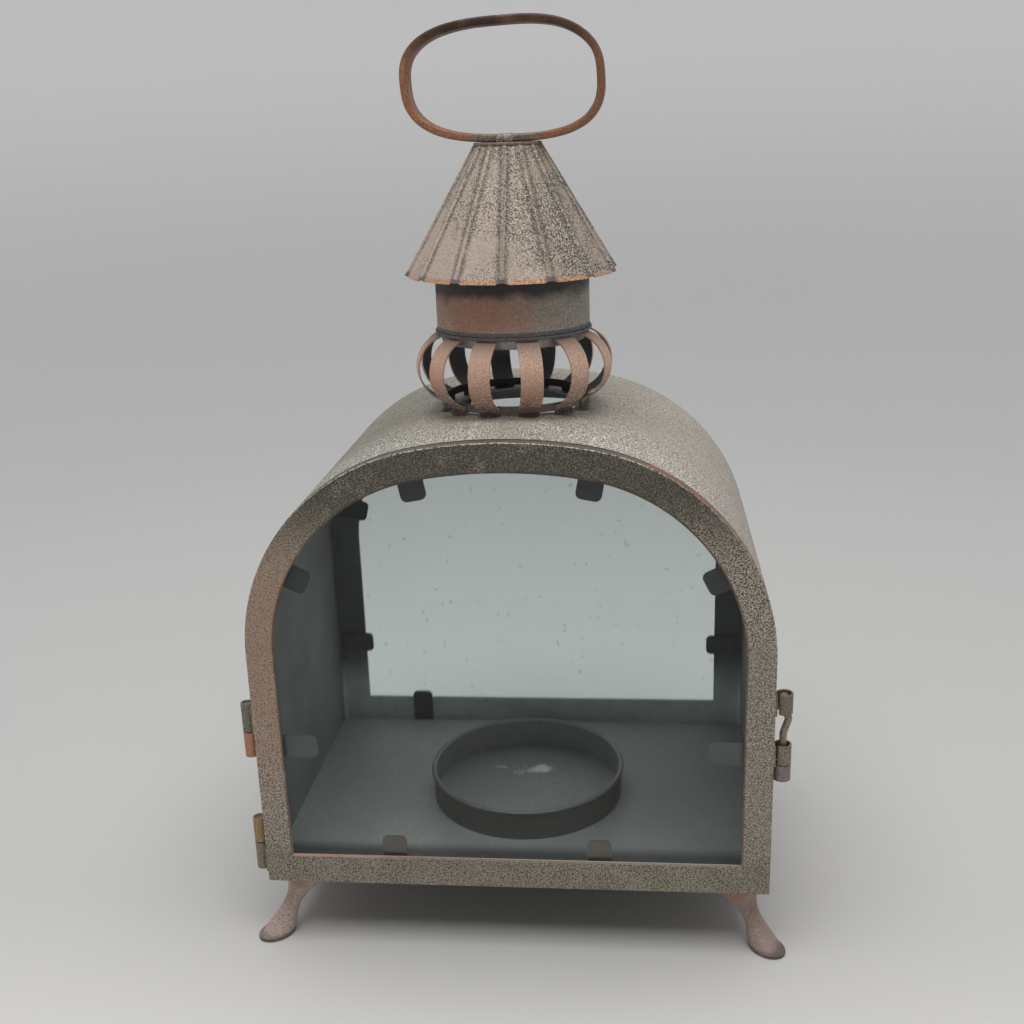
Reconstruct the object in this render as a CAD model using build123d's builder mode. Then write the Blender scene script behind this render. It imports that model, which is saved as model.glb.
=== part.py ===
from build123d import *
import os
from math import asin, atan2, copysign, cos, degrees, pi, radians, sin, sqrt

# An arched candle lantern of soldered sheet metal with a glazed door. Millimetres, +Z up,
# the door faces -Y, and the origin is on the ground below the middle of the body.
# Angles round the chimney count from the front, positive towards +X.

# Body
body_width = 250.0
body_depth = 175.0
wall_height = 124.0
shoulder_offset = 23.0
crown_radius = 235.0
foot_height = 35.0
floor_lift = 5.0
sheet = 0.8
smoke_hole_radius = 31.0

# Door and back frame
door_face = 14.0
door_rail = 16.0
back_face = 17.2
back_rail = 18.8
flange_depth = 5.5
bend_radius = 0.6
door_gap = 0.8

# Panes and the tabs that hold them
glass_thickness = 2.0
glass_gap = 1.0
tab_width = 12.0
tab_seat = 0.3
tab_round = 3.0
crown_tab_offset = 43.5
door_tab_reach = 10.0
door_stile_tab_reach = 16.5
door_shoulder_tab_angle = 27.0
door_stile_tab_height = 75.0
door_left_rail_tab = 59.5
door_right_rail_tab = 42.5
back_tab_reach = 5.0
back_shoulder_tab_angle = 13.0
back_stile_tab_height = 57.0
back_rail_tab = 73.5

# Feet
foot_inset_side = 13.5
foot_inset_front = 19.5
foot_splay = 19.4
root_length = 27.0
root_width = 22.0
root_shift = 3.5
calf_height = 25.0
calf_size = 19.5
calf_splay = 0.0
ankle_height = 15.0
ankle_size = 9.4
ankle_splay = 8.8
instep_height = 7.5
instep_size = 12.4
toe_length = 20.0
toe_width = 15.0
sole_thickness = 2.2
sole_round = 0.6
sole_lip = 0.7

# Candle pan
pan_radius = 53.5
pan_height = 17.0
pan_bead = 1.3

# Vent cage
ring_radius = 36.0
lower_ring_wall = 1.0
lower_ring_height = 3.8
lower_ring_lift = 0.9
upper_ring_wall = 2.6
upper_ring_height = 8.0
upper_ring_round = 1.2
cage_height = 40.0
strip_count = 12
strip_width = 10.8
strip_phase = 15.1
strip_bulge = 12.4
strip_leg = 3.0
strip_foot = 2.2
strip_trim = 5.0
strip_bend = 2.0

# Collar
collar_height = 48.4
collar_lap = 3.5
collar_seat = 0.1
collar_bead = 0.9

# Crimped cone cap
cap_radius = 52.0
cap_top_radius = 16.0
cap_height = 60.5
crimp_count = 14
crimp_phase = 0.4
crimp_width = 2.9
crimp_rise = 1.4
crimp_top_width = 2.2
crimp_top_rise = 0.8
notch_width = 6.5
notch_depth = 0.8
disc_overhang = 0.4
disc_thickness = 1.2

# Carry handle
handle_width = 96.5
handle_height = 56.5
handle_strap = 14.0
handle_thickness = 3.8
handle_edge = 1.2
solder_length = 10.0
solder_size = 2.4

# Hinges, with heights above the lower edge of the body
pin_radius = 2.0
running_clearance = 0.05
knuckle_wall = 1.25
knuckle_gap = 0.3
upper_hinge_split = 82.0
lower_hinge_split = 20.2
door_knuckle_length = 15.0
body_knuckle_length = 13.5
strap_length = 19.0
pin_recess = 0.8

# Latch, with heights above the lower edge of the body
guide_radius = 4.1
guide_bore_radius = 3.1
guide_length = 10.2
keeper_length = 8.2
keeper_height = 61.0
guide_spread = 26.2
wire_radius = 1.7
wire_bend = 2.6
kink_offset = 2.4
kink_rise = 4.0
kink_run = 7.8
kink_tuck = 1.2
latch_lift = 0.4

# Places that follow from these sizes
half_width = body_width / 2
front_y = -body_depth / 2
back_y = body_depth / 2
flange_back_y = front_y + flange_depth
shell_front_y = flange_back_y + door_gap
floor_back_y = back_y - flange_depth
body_low = foot_height
spring_z = body_low + wall_height
floor_top = body_low + floor_lift
shoulder_radius = half_width - shoulder_offset
crown_drop = sqrt((crown_radius - shoulder_radius) ** 2 - shoulder_offset**2)
shoulder_sweep = degrees(atan2(crown_drop, shoulder_offset))
crown_sweep = 180 - 2 * shoulder_sweep
roof_top = spring_z + crown_radius - crown_drop
cage_top = roof_top + cage_height
collar_inside = sqrt((ring_radius + sheet) ** 2 + (strip_width / 2) ** 2) + collar_seat
collar_radius = collar_inside + sheet
collar_low = cage_top - collar_lap
collar_top = collar_low + collar_height
cap_slope = cap_height / (cap_radius - cap_top_radius)
cap_seat_radius = collar_radius / cos(pi / crimp_count)
cap_low = collar_top - (cap_radius - sheet - cap_seat_radius) * cap_slope
cap_top = cap_low + cap_height
handle_low = cap_top + disc_thickness
knuckle_radius = pin_radius + running_clearance + knuckle_wall
hinge_x = -(half_width + knuckle_gap + knuckle_radius)
latch_x = half_width + knuckle_gap + guide_radius
axis_y = flange_back_y
keeper_low = body_low + keeper_height
lower_guide_low = keeper_low + keeper_length + knuckle_gap
upper_guide_low = lower_guide_low + guide_spread

os.makedirs("parts", exist_ok=True)


def write(part, name):
    """Label a finished piece and write it under its own name."""
    part.label = name
    export_step(part, f"parts/{name}.step")


def front_plane(y):
    """Vertical plane at depth y that faces the front, with X to the right and Z up."""
    return Plane.XZ.offset(-y)


def arch_face(plane, inset, low_inset):
    """Three-centred arch parallel to the body's outline, inset from it at the sides and at the foot."""
    shoulder = shoulder_radius - inset
    half = half_width - inset
    low = body_low + low_inset
    with BuildSketch(plane) as arch:
        with BuildLine():
            Polyline((-half, spring_z), (-half, low), (half, low), (half, spring_z))
            CenterArc((shoulder_offset, spring_z), shoulder, 0, shoulder_sweep)
            CenterArc((0, spring_z - crown_drop), crown_radius - inset, shoulder_sweep, crown_sweep)
            CenterArc((-shoulder_offset, spring_z), shoulder, 180 - shoulder_sweep, shoulder_sweep)
        make_face()
    return arch.sketch


def round_about(angle, radius):
    """Plan position at an angle round the chimney."""
    return (radius * sin(radians(angle)), -radius * cos(radians(angle)))


# Body shell: one sheet bent into both sides and the roof
with BuildPart() as body_shell:
    extrude(arch_face(front_plane(back_y), 0, 0), amount=back_y - shell_front_y)
    extrude(arch_face(front_plane(back_y), sheet, -sheet), amount=back_y - shell_front_y, mode=Mode.SUBTRACT)
    with Locations((0, 0, roof_top)):
        Cylinder(smoke_hole_radius, 2 * smoke_hole_radius, mode=Mode.SUBTRACT)
write(body_shell.part, "body_shell")

# Floor: a plate with its rim turned down, between the sides
with BuildPart() as floor_plate:
    with BuildSketch(Plane.XY.offset(body_low)):
        with Locations((0, (shell_front_y + floor_back_y) / 2)):
            Rectangle(body_width - 2 * sheet, floor_back_y - shell_front_y)
    extrude(amount=floor_lift)
    offset(amount=-sheet, openings=floor_plate.faces().sort_by(Axis.Z)[0])
write(floor_plate.part, "floor_plate")

# Back frame: an arched flat face with a flange turned forward inside the shell
with BuildPart() as back_frame:
    extrude(arch_face(front_plane(back_y), sheet, 0), amount=flange_depth)
    extrude(arch_face(front_plane(back_y - sheet), 2 * sheet, sheet), amount=flange_depth, mode=Mode.SUBTRACT)
    extrude(arch_face(front_plane(back_y), back_face, back_rail), amount=flange_depth, mode=Mode.SUBTRACT)
write(back_frame.part, "back_frame")

# Door frame: the same face with its flange turned back, flush with the shell's outline
with BuildPart() as door_frame:
    rear_plane = front_plane(flange_back_y)
    extrude(arch_face(rear_plane, 0, 0), amount=flange_depth)
    extrude(arch_face(rear_plane, sheet, sheet), amount=flange_depth - sheet, mode=Mode.SUBTRACT)
    extrude(arch_face(rear_plane, door_face, door_rail), amount=flange_depth, mode=Mode.SUBTRACT)
    fillet(door_frame.faces().sort_by(Axis.Y)[0].outer_wire().edges(), bend_radius)
write(door_frame.part, "door_frame")

# Panes: each lies against the inside of its frame's face, clear of the flange
back_glass_rear_y = back_y - sheet
back_glass_front_y = back_glass_rear_y - glass_thickness
back_pane_inset = 2 * sheet + glass_gap
with BuildPart() as back_glass:
    extrude(
        arch_face(front_plane(back_glass_rear_y), back_pane_inset, sheet + glass_gap),
        amount=glass_thickness,
    )
write(back_glass.part, "back_glass")

door_glass_rear_y = front_y + sheet + glass_thickness
door_pane_inset = sheet + glass_gap
with BuildPart() as door_glass:
    extrude(
        arch_face(front_plane(door_glass_rear_y), door_pane_inset, door_pane_inset),
        amount=glass_thickness,
    )
write(door_glass.part, "door_glass")


def glass_tabs(
    name, rear_y, flange_inset, face, rail, reach, stile_reach, shoulder_angle, stile_height, rail_places
):
    """Bent tabs soldered inside a flange, each lying across the pane and past the frame's inner edge."""
    seat = flange_inset + tab_seat
    crown = crown_radius - seat
    shoulder = shoulder_radius - seat
    crown_turn = degrees(asin(crown_tab_offset / crown))
    shoulder_turn = radians(shoulder_angle)
    shoulder_x = shoulder_offset + shoulder * cos(shoulder_turn)
    shoulder_z = spring_z + shoulder * sin(shoulder_turn)
    crown_z = spring_z - crown_drop + crown * cos(radians(crown_turn))
    side_z = body_low + stile_height
    length = face - seat + reach
    stile_length = face - seat + stile_reach
    rail_seat = sheet + tab_seat
    tabs = []
    for side in (-1, 1):
        tabs.append(((side * crown_tab_offset, crown_z), -90 - side * crown_turn, length))
        tabs.append(((side * shoulder_x, shoulder_z), 90 + side * (90 + shoulder_angle), length))
        tabs.append(((side * (half_width - seat), side_z), 90 + side * 90, stile_length))
    for place in rail_places:
        tabs.append(((place, body_low + rail_seat), 90, rail - rail_seat + reach))
    with BuildPart() as group:
        with BuildSketch(front_plane(rear_y)):
            for place, turn, reach_length in tabs:
                with Locations(Location(place, turn)):
                    with Locations(((reach_length - tab_round) / 2, 0)):
                        Rectangle(reach_length - tab_round, tab_width)
                    with Locations((reach_length - tab_round, 0)):
                        Rectangle(2 * tab_round, tab_width - 2 * tab_round)
                    with GridLocations(0, tab_width - 2 * tab_round, 1, 2):
                        with Locations((reach_length - tab_round, 0)):
                            Circle(tab_round)
        extrude(amount=sheet)
    write(group.part, name)


glass_tabs(
    "back_glass_tabs",
    back_glass_front_y,
    2 * sheet,
    back_face,
    back_rail,
    back_tab_reach,
    back_tab_reach,
    back_shoulder_tab_angle,
    back_stile_tab_height,
    [-back_rail_tab],
)
glass_tabs(
    "door_glass_tabs",
    door_glass_rear_y + sheet,
    sheet,
    door_face,
    door_rail,
    door_tab_reach,
    door_stile_tab_reach,
    door_shoulder_tab_angle,
    door_stile_tab_height,
    [-door_left_rail_tab, door_right_rail_tab],
)

# Feet: cabriole feet that splay along the diagonal of each corner, each on a thin oval sole
foot_x = half_width - foot_inset_side
foot_y = back_y - foot_inset_front
root_top = floor_top - sheet
for end, end_sign in (("front", -1), ("back", 1)):
    for side, side_sign in (("left", -1), ("right", 1)):
        diagonal = degrees(atan2(end_sign, side_sign))
        corner = Plane((side_sign * foot_x, end_sign * foot_y, 0)).rotated((0, 0, diagonal))
        with BuildPart() as foot:
            with BuildSketch(corner):
                with Locations((foot_splay, 0)):
                    Ellipse(toe_length / 2, toe_width / 2)
            extrude(amount=sole_thickness)
            fillet(foot.edges(), sole_round)
            with BuildSketch(corner.offset(sole_thickness / 2)):
                with Locations((foot_splay, 0)):
                    Ellipse(toe_length / 2 - sole_lip, toe_width / 2 - sole_lip)
            with BuildSketch(corner.offset(instep_height)):
                with Locations(((foot_splay + ankle_splay) / 2, 0)):
                    Circle(instep_size / 2)
            with BuildSketch(corner.offset(ankle_height)):
                with Locations((ankle_splay, 0)):
                    Circle(ankle_size / 2)
            with BuildSketch(corner.offset(calf_height)):
                with Locations((calf_splay, 0)):
                    Circle(calf_size / 2)
            with BuildSketch(corner.offset(body_low)):
                with Locations((-root_shift, 0)):
                    Ellipse(root_length / 2, root_width / 2)
            loft()
            extrude(foot.faces().sort_by(Axis.Z)[-1], amount=root_top - body_low)
        write(foot.part, f"{end}_{side}_foot")

# Candle pan: a round pan with a beaded rim, soldered to the middle of the floor
pan_rim_z = floor_top + pan_height
with BuildPart() as candle_pan:
    with BuildSketch(Plane.XZ):
        with BuildLine():
            Polyline(
                (0, floor_top),
                (pan_radius - pan_bead, floor_top),
                (pan_radius - pan_bead, pan_rim_z - pan_bead),
                (pan_radius - pan_bead - sheet, pan_rim_z - pan_bead),
                (pan_radius - pan_bead - sheet, floor_top + sheet),
                (0, floor_top + sheet),
                close=True,
            )
        make_face()
        with Locations((pan_radius - pan_bead, pan_rim_z - pan_bead)):
            Circle(pan_bead)
    revolve(axis=Axis.Z)
write(candle_pan.part, "candle_pan")

# Vent rings: the lower one hangs between the strips' feet just above the roof, and the upper one, with a
# rounded lower edge, holds the collar
with BuildPart() as vent_lower_ring:
    with BuildSketch(Plane.XY.offset(roof_top + lower_ring_lift)):
        Circle(ring_radius)
        Circle(ring_radius - lower_ring_wall, mode=Mode.SUBTRACT)
    extrude(amount=lower_ring_height)
write(vent_lower_ring.part, "vent_lower_ring")

with BuildPart() as vent_upper_ring:
    with BuildSketch(Plane.XY.offset(cage_top - upper_ring_height)):
        Circle(ring_radius)
        Circle(ring_radius - upper_ring_wall, mode=Mode.SUBTRACT)
    extrude(amount=upper_ring_height)
    fillet(vent_upper_ring.edges().group_by(Axis.Z)[0], upper_ring_round)
write(vent_upper_ring.part, "vent_upper_ring")

# Vent strips: straps bowed outwards round the rings, with their feet trimmed to the curve of the roof
bow_low = roof_top + strip_foot
bow_half = (cage_top - strip_leg - bow_low) / 2
bow_angle = 2 * atan2(strip_bulge, bow_half)
bow_radius = bow_half / sin(bow_angle) - strip_bend
for index in range(strip_count):
    outward = round_about(strip_phase + index * 360 / strip_count, 1)
    with BuildPart() as vent_strip:
        with BuildSketch(Plane((0, 0, 0), x_dir=(*outward, 0), z_dir=(outward[1], -outward[0], 0))):
            with BuildLine():
                leg = Line((ring_radius, roof_top - strip_trim), (ring_radius, bow_low))
                flare = JernArc(leg @ 1, leg % 1, strip_bend, -degrees(bow_angle))
                belly = JernArc(flare @ 1, flare % 1, bow_radius, 2 * degrees(bow_angle))
                draw_in = JernArc(belly @ 1, belly % 1, strip_bend, -degrees(bow_angle))
                Line(draw_in @ 1, (ring_radius, cage_top))
                offset(amount=sheet, side=Side.RIGHT)
            make_face()
        extrude(amount=strip_width / 2, both=True)
        extrude(arch_face(front_plane(back_y), 0, 0), amount=body_depth, mode=Mode.SUBTRACT)
    write(vent_strip.part, f"vent_strip_{index + 1:02d}")

# Collar: a rolled cylinder over the strips' upper ends, with a beaded lower edge
with BuildPart() as collar:
    with BuildSketch(Plane.XZ):
        with Locations((collar_inside, collar_low)):
            Rectangle(sheet, collar_height, align=(Align.MIN, Align.MIN))
        with Locations((collar_inside + collar_bead, collar_low + collar_bead)):
            Circle(collar_bead)
    revolve(axis=Axis.Z)
write(collar.part, "collar")


def crimped_ring(height, radius, width, rise):
    """Outline of the cap at one height: flat panels between narrow raised crimps."""
    outline = []
    for index in range(crimp_count):
        middle = crimp_phase + index * 360 / crimp_count
        spread = degrees(width / 2 / radius)
        outline.append(round_about(middle - spread, radius))
        outline.append(round_about(middle, radius + rise))
        outline.append(round_about(middle + spread, radius))
    with BuildSketch(Plane.XY.offset(height)) as ring:
        with BuildLine():
            Polyline(*outline, close=True)
        make_face()
    return ring.sketch


# Cap: a crimped cone that rests on the collar, with its rim drawn up at every crimp
notch_radius = (notch_width**2 / 4 + notch_depth**2) / (2 * notch_depth)
with BuildPart() as cap_cone:
    loft(
        [
            crimped_ring(cap_low, cap_radius, crimp_width, crimp_rise),
            crimped_ring(cap_top, cap_top_radius, crimp_top_width, crimp_top_rise),
        ],
        ruled=True,
    )
    loft(
        [
            crimped_ring(cap_low, cap_radius - sheet, crimp_width, crimp_rise),
            crimped_ring(cap_top, cap_top_radius - sheet, crimp_top_width, crimp_top_rise),
        ],
        ruled=True,
        mode=Mode.SUBTRACT,
    )
    for index in range(crimp_count):
        crimp = round_about(crimp_phase + index * 360 / crimp_count, 1)
        with BuildSketch(Plane((0, 0, cap_low), x_dir=(-crimp[1], crimp[0], 0), z_dir=(*crimp, 0))):
            with Locations((0, notch_depth - notch_radius)):
                Circle(notch_radius)
        extrude(amount=2 * cap_radius, mode=Mode.SUBTRACT)
write(cap_cone.part, "cap_cone")

with BuildPart() as cap_disc:
    with BuildSketch(Plane.XY.offset(cap_top)):
        Circle(cap_top_radius + disc_overhang)
    extrude(amount=disc_thickness)
    fillet(cap_disc.edges().group_by(Axis.Z)[-1], disc_thickness / 2)
write(cap_disc.part, "cap_disc")

# Carry handle: a closed loop of hemmed strap standing on the disc, with a bead of solder on each side
with BuildPart() as carry_handle:
    with BuildSketch(Plane.XZ):
        with Locations((0, handle_low + handle_height / 2)):
            SlotOverall(handle_width, handle_height)
            SlotOverall(
                handle_width - 2 * handle_thickness, handle_height - 2 * handle_thickness, mode=Mode.SUBTRACT
            )
    extrude(amount=handle_strap / 2, both=True)
    fillet(carry_handle.faces().filter_by(Axis.Y).edges(), handle_edge)
write(carry_handle.part, "carry_handle")

with BuildPart() as handle_solder:
    with BuildSketch(Plane.YZ):
        for side in (-1, 1):
            strap_edge = side * handle_strap / 2
            with BuildLine():
                Polyline(
                    (strap_edge, handle_low),
                    (strap_edge + side * solder_size, handle_low),
                    (strap_edge, handle_low + solder_size),
                    close=True,
                )
            make_face()
    extrude(amount=solder_length / 2, both=True)
write(handle_solder.part, "handle_solder")


def rolled_knuckle(name, axis_x, low, length, radius, bore, strap_start, strap_end):
    """Barrel rolled on a vertical axis beside the body, with its strap flat along the side."""
    side = copysign(1, axis_x)
    with BuildPart() as knuckle:
        with BuildSketch(Plane.XY.offset(low)):
            with Locations((side * (half_width + sheet / 2), (strap_start + strap_end) / 2)):
                Rectangle(sheet, strap_end - strap_start)
            with Locations((axis_x, axis_y)):
                Circle(radius)
                Circle(bore, mode=Mode.SUBTRACT)
        extrude(amount=length)
    write(knuckle.part, name)


# Hinges: the upper door knuckle stands on its body knuckle, the lower one hangs below it
hinge_bore = pin_radius + running_clearance
strap_end_y = shell_front_y + strap_length
for level, split, door_above in (("upper", upper_hinge_split, True), ("lower", lower_hinge_split, False)):
    above_low = body_low + split + knuckle_gap / 2
    below_high = body_low + split - knuckle_gap / 2
    door_low = above_low if door_above else below_high - door_knuckle_length
    fixed_low = below_high - body_knuckle_length if door_above else above_low
    rolled_knuckle(
        f"{level}_hinge_door_knuckle",
        hinge_x,
        door_low,
        door_knuckle_length,
        knuckle_radius,
        hinge_bore,
        front_y + bend_radius,
        flange_back_y,
    )
    rolled_knuckle(
        f"{level}_hinge_body_knuckle",
        hinge_x,
        fixed_low,
        body_knuckle_length,
        knuckle_radius,
        hinge_bore,
        shell_front_y,
        strap_end_y,
    )
    with BuildPart() as hinge_pin:
        with BuildSketch(Plane.XY.offset(min(door_low, fixed_low) + pin_recess)):
            with Locations((hinge_x, axis_y)):
                Circle(pin_radius)
        extrude(amount=door_knuckle_length + body_knuckle_length + knuckle_gap - 2 * pin_recess)
    write(hinge_pin.part, f"{level}_hinge_pin")

# Latch: two guides on the door, a keeper on the body below them, and a kinked wire pin, shown lifted
rolled_knuckle(
    "latch_keeper",
    latch_x,
    keeper_low,
    keeper_length,
    guide_radius,
    guide_bore_radius,
    shell_front_y,
    strap_end_y,
)
for name, low in (("latch_lower_guide", lower_guide_low), ("latch_upper_guide", upper_guide_low)):
    rolled_knuckle(
        name,
        latch_x,
        low,
        guide_length,
        guide_radius,
        guide_bore_radius,
        front_y + bend_radius,
        flange_back_y,
    )

pin_low = lower_guide_low + latch_lift
pin_high = upper_guide_low + guide_length - pin_recess
kink_top = upper_guide_low + kink_tuck
with BuildPart() as latch_pin:
    with BuildLine(front_plane(axis_y)):
        FilletPolyline(
            (latch_x, pin_low),
            (latch_x, kink_top - kink_rise - kink_run),
            (latch_x + kink_offset, kink_top - kink_rise),
            (latch_x, kink_top),
            (latch_x, pin_high),
            radius=wire_bend,
        )
    with BuildSketch(Plane.XY.offset(pin_low)):
        with Locations((latch_x, axis_y)):
            Circle(wire_radius)
    sweep()
write(latch_pin.part, "latch_pin")
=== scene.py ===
from math import atan2, cos, pi, radians, sin, sqrt

import bmesh
import bpy
import numpy as np
from mathutils import Matrix, Vector


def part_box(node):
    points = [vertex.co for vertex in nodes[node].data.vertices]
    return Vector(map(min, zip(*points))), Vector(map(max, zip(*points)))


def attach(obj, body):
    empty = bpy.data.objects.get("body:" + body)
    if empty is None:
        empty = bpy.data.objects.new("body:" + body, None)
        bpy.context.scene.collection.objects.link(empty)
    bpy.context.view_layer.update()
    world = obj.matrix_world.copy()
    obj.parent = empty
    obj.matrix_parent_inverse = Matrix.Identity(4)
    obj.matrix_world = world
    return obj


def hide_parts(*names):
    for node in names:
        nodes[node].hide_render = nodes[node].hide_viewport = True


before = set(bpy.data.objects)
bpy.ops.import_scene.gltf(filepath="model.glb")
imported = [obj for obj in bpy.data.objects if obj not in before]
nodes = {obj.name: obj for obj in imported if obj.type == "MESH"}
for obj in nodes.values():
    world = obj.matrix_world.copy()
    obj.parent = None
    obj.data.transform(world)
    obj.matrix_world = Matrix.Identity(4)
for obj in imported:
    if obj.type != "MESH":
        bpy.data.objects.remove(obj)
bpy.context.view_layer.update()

# Body shell: one sheet of tinned steel bent into both sides and the arched roof, soldered to the floor.
# Outside it is limewashed over a brown primer, worn to fine grains; inside it is left dull charcoal.
SHELL_HEART = (0.0, 0.0, 0.12)
CHARCOAL = (0.26, 0.268, 0.266)
CLOUD_SIZE = 0.05
PATCH_SIZE = 0.016
GRAIN_SIZE = 0.0008


class Nodes:
    """Short hand for one material's node tree: each call adds nodes and returns an output socket."""

    def __init__(self, name):
        self.material = bpy.data.materials.new(name)
        self.material.use_nodes = True
        self.tree = self.material.node_tree
        self.shader = self.tree.nodes["Principled BSDF"]
        coordinates = self.add("ShaderNodeTexCoord")
        self.place = coordinates.outputs["Object"]
        self.normal = coordinates.outputs["Normal"]

    def add(self, kind, **settings):
        """New node of a kind, with its settings."""
        node = self.tree.nodes.new(kind)
        for key, value in settings.items():
            setattr(node, key, value)
        return node

    def feed(self, socket, value):
        """Link an output to a socket, or set the socket where the value is a plain number or colour."""
        if isinstance(value, bpy.types.NodeSocket):
            self.tree.links.new(value, socket)
        elif hasattr(value, "__len__") and len(socket.default_value) == 4:
            socket.default_value = (*value[:3], 1.0)
        else:
            socket.default_value = value

    def noise(self, size, detail=3.0, seed=0.0, roughness=0.55, stretch=(1, 1, 1)):
        """Noise whose blotches are about size metres across, from 0 to 1."""
        mapping = self.add("ShaderNodeMapping")
        self.feed(mapping.inputs["Vector"], self.place)
        mapping.inputs["Location"].default_value = (seed, seed * 0.7, seed * 1.3)
        mapping.inputs["Scale"].default_value = stretch
        node = self.add("ShaderNodeTexNoise")
        self.feed(node.inputs["Vector"], mapping.outputs[0])
        node.inputs["Scale"].default_value = 1 / size
        node.inputs["Detail"].default_value = detail
        node.inputs["Roughness"].default_value = roughness
        return node.outputs["Fac"]

    def math(self, operation, a, b=0.0):
        """One sum on two numbers."""
        node = self.add("ShaderNodeMath", operation=operation)
        self.feed(node.inputs[0], a)
        self.feed(node.inputs[1], b)
        return node.outputs[0]

    def both(self, *masks):
        """Product of masks."""
        product = masks[0]
        for mask in masks[1:]:
            product = self.math("MULTIPLY", product, mask)
        return product

    def ramp(self, value, low, high, start=0.0, end=1.0):
        """Smooth step from start to end as value goes from low to high."""
        node = self.add("ShaderNodeMapRange", interpolation_type="SMOOTHSTEP")
        for socket, number in zip(node.inputs[:5], (value, low, high, start, end)):
            self.feed(socket, number)
        return node.outputs[0]

    def mix(self, share, a, b):
        """Colour a turned into colour b by a share."""
        node = self.add("ShaderNodeMix", data_type="RGBA")
        self.feed(node.inputs["Factor"], share)
        self.feed(node.inputs[6], a)
        self.feed(node.inputs[7], b)
        return node.outputs[2]

    def vector(self, operation, a, b, output="Vector"):
        """One sum on two vectors."""
        node = self.add("ShaderNodeVectorMath", operation=operation)
        self.feed(node.inputs[0], a)
        self.feed(node.inputs[1], b)
        return node.outputs[output]

    def axis(self, name):
        """One coordinate of the place on the object, in metres."""
        node = self.add("ShaderNodeSeparateXYZ")
        self.feed(node.inputs[0], self.place)
        return node.outputs[name]

    def reach(self, share=(1, 1, 0), centre=(0, 0, 0)):
        """Distance from a centre, counted only along the axes whose share is 1."""
        offset = self.vector("SUBTRACT", self.place, centre)
        return self.vector("LENGTH", self.vector("MULTIPLY", offset, share), (0, 0, 0), "Value")

    def facing(self, direction, low=0.5, high=0.8):
        """1 on surfaces that look in the direction, 0 on those that look elsewhere."""
        return self.ramp(self.vector("DOT_PRODUCT", self.normal, direction, "Value"), low, high)

    def inside(self, heart):
        """1 on surfaces that face the heart of the lantern, 0 on those that face away from it."""
        outward = self.vector("SUBTRACT", self.place, heart)
        return self.math("LESS_THAN", self.vector("DOT_PRODUCT", outward, self.normal, "Value"), 0.0)

    def bump(self, height, depth):
        """Relief of a height from 0 to 1, depth metres deep, on the shader's normal."""
        node = self.add("ShaderNodeBump")
        node.inputs["Strength"].default_value = 0.8
        node.inputs["Distance"].default_value = depth
        self.feed(node.inputs["Height"], height)
        self.feed(self.shader.inputs["Normal"], node.outputs[0])


def grained(n, colour, share, dark, pale):
    """Dark pores and pale grains broken into a colour, as strongly as the share says."""
    colour = n.mix(n.both(n.ramp(n.fine, 0.475, 0.42), share), colour, dark)
    return n.mix(n.both(n.ramp(n.fine, 0.525, 0.58), share), colour, pale)


def weathered(name, calm, wash, dark, pale, seed, grains=(0.3, 0.8)):
    """Limewash on sheet: two colours clouded into each other, and broken to pale grains on dark pores, little
    on the calm patches and much on the worn ones. Gives the node tree, with its noises kept, and the colour."""
    n = Nodes(name)
    n.cloud = n.noise(CLOUD_SIZE, 3, seed)
    n.patch = n.noise(PATCH_SIZE, 4, seed + 3.1, 0.65)
    n.fine = n.noise(GRAIN_SIZE, 2, seed + 11.3, 0.7)
    n.age = n.math("MULTIPLY", n.math("ADD", n.cloud, n.patch), 0.5)
    colour = n.mix(n.ramp(n.math("ADD", n.cloud, n.math("MULTIPLY", n.patch, 0.4)), 0.56, 0.84), calm, wash)
    return n, grained(n, colour, n.ramp(n.age, 0.4, 0.6, *grains), dark, pale)


def charred(n, colour, heart, tone=CHARCOAL):
    """Dull charcoal, clouded and faintly dusty, on the surfaces that face the heart."""
    soot = n.mix(n.ramp(n.age, 0.4, 0.6), [0.72 * c for c in tone], tone)
    soot = n.mix(n.ramp(n.fine, 0.55, 0.75, 0.0, 0.35), soot, [1.9 * c for c in tone])
    return n.mix(n.inside(heart), colour, soot)


def finish(n, colour, rough=(0.5, 0.75), metal=0.1, depth=0.00014):
    """Set the colour, a patchy roughness and a relief of grains and dents on the shader."""
    n.feed(n.shader.inputs["Base Color"], colour)
    n.feed(n.shader.inputs["Roughness"], n.ramp(n.patch, 0.35, 0.65, *rough))
    n.shader.inputs["Metallic"].default_value = metal
    n.bump(n.math("ADD", n.math("MULTIPLY", n.fine, 0.8), n.math("MULTIPLY", n.patch, 1.2)), depth)
    return n.material


def dress(material, *names):
    """Put one material on CAD nodes."""
    for name in names:
        mesh = nodes[name].data
        mesh.materials.clear()
        mesh.materials.append(material)


n, colour = weathered("shell_limewash", (0.325, 0.296, 0.236), (0.39, 0.335, 0.282), (0.1, 0.092, 0.07),
                      (0.78, 0.74, 0.67), 1.0, grains=(0.45, 0.85))
rosy_grain = n.mix(n.ramp(n.fine, 0.44, 0.56), (0.24, 0.205, 0.17), (0.72, 0.66, 0.585))
colour = n.mix(n.ramp(n.axis("X"), 0.03, 0.1, 0.0, 0.6), colour, rosy_grain)
olive_grain = n.mix(n.ramp(n.fine, 0.42, 0.58), (0.105, 0.095, 0.072), (0.3, 0.28, 0.225))
colour = n.mix(n.ramp(n.axis("X"), -0.01, -0.07, 0.0, 0.65), colour, olive_grain)
near_door = n.both(n.ramp(n.axis("Y"), -0.01, -0.07), n.ramp(n.axis("Z"), 0.2, 0.25), n.ramp(n.patch, 0.3, 0.5))
colour = grained(n, colour, near_door, (0.08, 0.073, 0.055), (0.9, 0.87, 0.8))
under_cage = n.ramp(n.reach(), 0.052, 0.04)
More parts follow.
